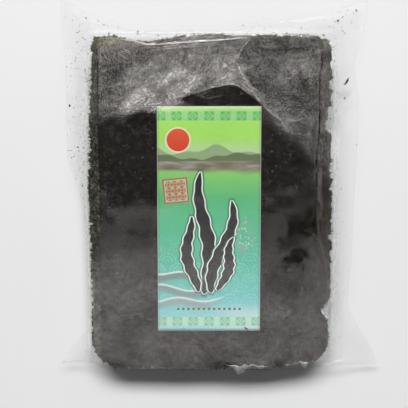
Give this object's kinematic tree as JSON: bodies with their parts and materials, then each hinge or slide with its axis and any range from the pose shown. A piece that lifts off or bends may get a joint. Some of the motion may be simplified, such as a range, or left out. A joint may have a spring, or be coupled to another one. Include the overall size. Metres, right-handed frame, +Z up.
{
  "type": "bag of nori sheets",
  "caption": "Thick flat stack of dried nori sheets sealed in a clear film bag with a printed paper label under the film, lying on its back.",
  "frame": {"origin": "centre of the bag's bounding box, on the surface that it lies on", "axes": "+Z up out of the label side, +Y towards the bag's top edge, +X to the right of the label"},
  "size_m": [0.272, 0.307, 0.036],
  "materials": {
    "bagged_nori": "clear glossy film tight over near-black nori",
    "film": "clear, glossy, thin",
    "nori": "dry, rough, near-black with green and brown tints",
    "label": "printed coated paper, lime green to teal"
  },
  "bodies": {
    "root": {"sealed_bag": "bagged_nori"}
  },
  "joints": []
}
